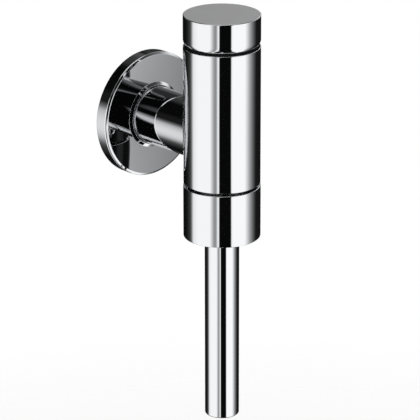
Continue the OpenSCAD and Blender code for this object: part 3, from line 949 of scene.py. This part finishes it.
def build_world():
    """White for the camera, plain grey light for matt surfaces, and the boards for metal."""
    world = bpy.data.worlds.new("studio")
    scene.world = world
    shader = Shader(world)
    direction = shader.node("ShaderNodeTexCoord")["Generated"]
    axes = shader.node("ShaderNodeSeparateXYZ", {}, {"Vector": direction})
    height = axes["Z"]

    widening = (WIDEN_BELOW - height).at_least(0) * WIDEN
    front = math.radians(VIEW_AZIMUTH)
    across = axes["X"] + widening * math.sin(front)
    ahead = axes["Y"] - widening * math.cos(front)
    azimuth = across.angle_from(0 - ahead)
    rise = height - BAND_LEVEL
    below = rise.at_most(0)
    turned_back = azimuth.between(*TURN_BACK) * LEAN_BACK
    azimuth = azimuth - rise * BAND_LEAN + below * turned_back
    round_share = azimuth / (2 * math.pi) + 0.5

    def ramp(stops, share):
        return shader.node("ShaderNodeValToRGB", {"stops": stops}, {"Fac": share})["Color"]

    height_share = height / 2 + 0.5
    boards = ramp(round_stops(STUDIO_BANDS), round_share)
    for bands, mask in (
        (LOW_CEILING_BANDS, LOW_CEILING_MASK), (HIGH_CEILING_BANDS, HIGH_CEILING_MASK)
    ):
        above = ramp(height_stops(mask), height_share)
        boards = blend(shader, above, boards, ramp(round_stops(bands), round_share))
    overhead = ramp(height_stops(ZENITH_MASK), height_share)
    boards = blend(shader, overhead, boards, (ZENITH, ZENITH, ZENITH))

    rays = shader.node("ShaderNodeLightPath")
    seen = blend(shader, rays["Is Glossy Ray"], MATT_LIGHT, boards)
    plain = rays["Is Camera Ray"].at_least(rays["Is Transmission Ray"])
    seen = blend(shader, plain, seen, WHITE)
    background = shader.node("ShaderNodeBackground", {}, {"Color": seen, "Strength": 1.0})
    shader.node("ShaderNodeOutputWorld", {}, {"Surface": background["Background"]})


FLOOR_Z = -300.0
FLOOR_R = 4000.0
FLOOR_SIDES = 96
FLOOR_SHADE = (0.95, 0.95, 0.95)
FLOOR_FADE_FROM = 120.0
FLOOR_FADE_TO = 450.0


def build_floor():
    """A pale floor that fades into the white backdrop. Metal mirrors the studio through it."""
    mesh = bmesh.new()
    bmesh.ops.create_circle(mesh, cap_ends=True, segments=FLOOR_SIDES, radius=FLOOR_R * MM)
    data = bpy.data.meshes.new("floor")
    mesh.to_mesh(data)
    mesh.free()
    floor = bpy.data.objects.new("floor", data)
    floor.location = Vector((0, AXIS_Y, FLOOR_Z)) * MM
    scene.collection.objects.link(floor)
    material = bpy.data.materials.new("pale_floor")
    shader = Shader(material)
    place = shader.node("ShaderNodeTexCoord")["Object"]
    reach = shader.node("ShaderNodeVectorMath", {"operation": "LENGTH"}, {0: place})["Value"]
    rays = shader.node("ShaderNodeLightPath")
    behind = shader.node("ShaderNodeNewGeometry")["Backfacing"]
    faded = reach.between(FLOOR_FADE_FROM * MM, FLOOR_FADE_TO * MM)
    gone = faded.at_least(rays["Is Glossy Ray"]).at_least(behind)
    matt = shader.node("ShaderNodeBsdfDiffuse", {}, {"Color": FLOOR_SHADE})["BSDF"]
    clear = shader.node("ShaderNodeBsdfTransparent")["BSDF"]
    surface_mix = shader.node("ShaderNodeMixShader", {}, {"Fac": gone, 1: matt, 2: clear})
    shader.node("ShaderNodeOutputMaterial", {}, {"Surface": surface_mix["Shader"]})
    data.materials.append(material)


LAMP_PLACE = Vector((-900.0, -1500.0, 1500.0))
LAMP_SIZE = 1400.0
LAMP_POWER = 6.0


def build_lamp():
    """A large soft lamp for the matt surfaces and the shadow. Metal doesn't mirror it."""
    data = bpy.data.lights.new("soft_lamp", "AREA")
    data.shape = "DISK"
    data.size = LAMP_SIZE * MM
    data.energy = LAMP_POWER
    lamp = bpy.data.objects.new("soft_lamp", data)
    scene.collection.objects.link(lamp)
    lamp.location = LAMP_PLACE * MM
    towards = Vector((0, AXIS_Y, 0)) - LAMP_PLACE
    lamp.rotation_euler = towards.to_track_quat("-Z", "Y").to_euler()
    lamp.visible_glossy = False


# Camera, fitted to the photograph's outlines. Angles are in degrees.


TARGET = Vector((0.0, -59.3, -0.6))
VIEW_AZIMUTH = -43.9126
VIEW_ELEVATION = 18.7524
VIEW_DISTANCE = 1398.98
AIM_ACROSS = -6.1845
AIM_UP = -39.4529
VIEW_ROLL = -0.0987
FOCAL_PIXELS = 2728.84
IMAGE_PIXELS = 420
SENSOR_WIDTH = 36.0


def build_camera():
    """The camera at its azimuth, elevation and distance from TARGET, aimed a little beside it."""
    azimuth = math.radians(VIEW_AZIMUTH)
    elevation = math.radians(VIEW_ELEVATION)
    flat = math.cos(elevation)
    towards = Vector(
        (math.sin(azimuth) * flat, -math.cos(azimuth) * flat, math.sin(elevation))
    )
    across = Vector((math.cos(azimuth), math.sin(azimuth), 0))
    place = TARGET + VIEW_DISTANCE * towards
    aim = TARGET + AIM_ACROSS * across + Vector((0, 0, AIM_UP))
    data = bpy.data.cameras.new("camera")
    data.sensor_width = SENSOR_WIDTH
    data.lens = FOCAL_PIXELS / IMAGE_PIXELS * SENSOR_WIDTH
    camera = bpy.data.objects.new("camera", data)
    scene.collection.objects.link(camera)
    camera.location = place * MM
    look = (aim - place).to_track_quat("-Z", "Y").to_matrix()
    roll = Quaternion(look.col[2].copy(), math.radians(VIEW_ROLL))
    camera.rotation_mode = "QUATERNION"
    camera.rotation_quaternion = roll @ look.to_quaternion()
    scene.camera = camera


build_world()
build_floor()
build_lamp()
build_camera()

scene.view_settings.view_transform = "Standard"
